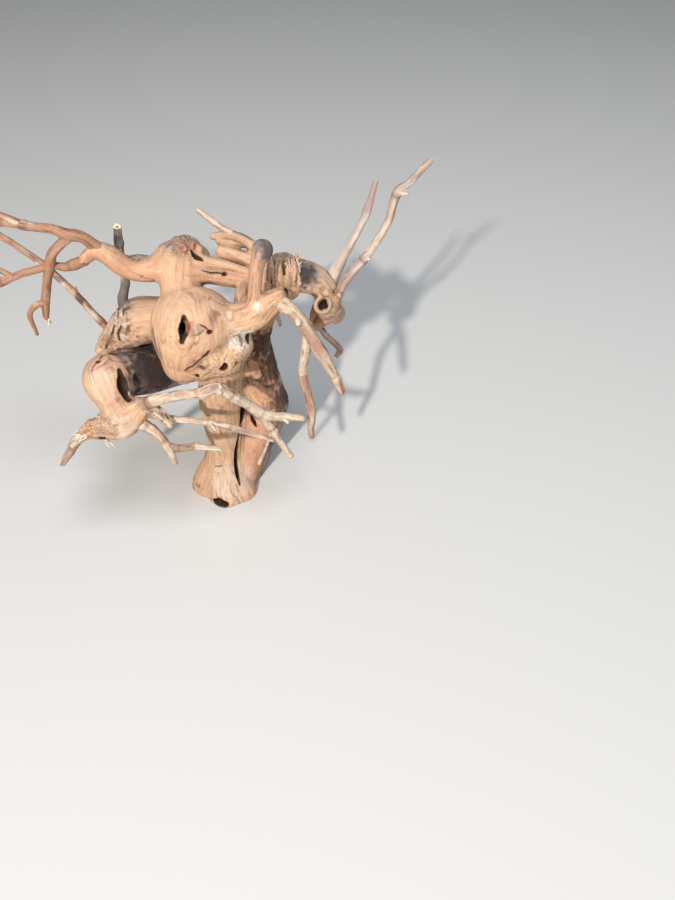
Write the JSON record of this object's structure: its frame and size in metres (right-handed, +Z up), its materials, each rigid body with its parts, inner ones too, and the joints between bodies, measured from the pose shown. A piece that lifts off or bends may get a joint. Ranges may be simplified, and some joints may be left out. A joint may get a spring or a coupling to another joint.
{
  "type": "bare old grapevine",
  "caption": "Bare old grapevine with a gnarled barkless trunk, a swollen burled head, short arms and dead canes, cut flat at ground level.",
  "frame": {"origin": "middle of the flat cut under the trunk, at ground level", "axes": "+Z up, -Y towards the viewer who faces the round front of the head, +X to the right, the widest spread of the canes"},
  "size_m": [0.772, 0.4536, 0.6825],
  "materials": {
    "trunk_wood": "bare weathered wood, long grain",
    "head_wood": "bare weathered wood, swirling grain",
    "grey_wood": "bare wood greyed by the weather",
    "decayed_wood": "decayed, pitted and fibrous wood",
    "cane": "dry canes, pale and finely ribbed"
  },
  "bodies": {
    "root": {"trunk": "trunk_wood", "crown_head": "head_wood", "left_shoulder": "head_wood", "knob_arm": "head_wood", "spur_head": "head_wood", "upper_left_arm": "head_wood", "front_right_arm": "head_wood", "decayed_burl": "decayed_wood", "right_limb": "head_wood", "upper_right_limb": "grey_wood", "upright_stub": "head_wood", "far_right_arm": "grey_wood", "cut_spur": "decayed_wood", "back_arm": "head_wood", "back_stick": "grey_wood", "canes_upper_left": "cane", "long_left_cane": "cane", "far_left_cane": "cane", "front_canes": "cane", "split_stub": "cane", "middle_cane": "cane", "under_canes": "cane", "right_high_cane": "cane", "right_far_cane": "cane", "right_low_canes": "cane", "hooked_cane": "cane", "top_right_cane": "cane", "back_long_cane": "cane", "back_short_cane": "cane"}
  },
  "joints": []
}
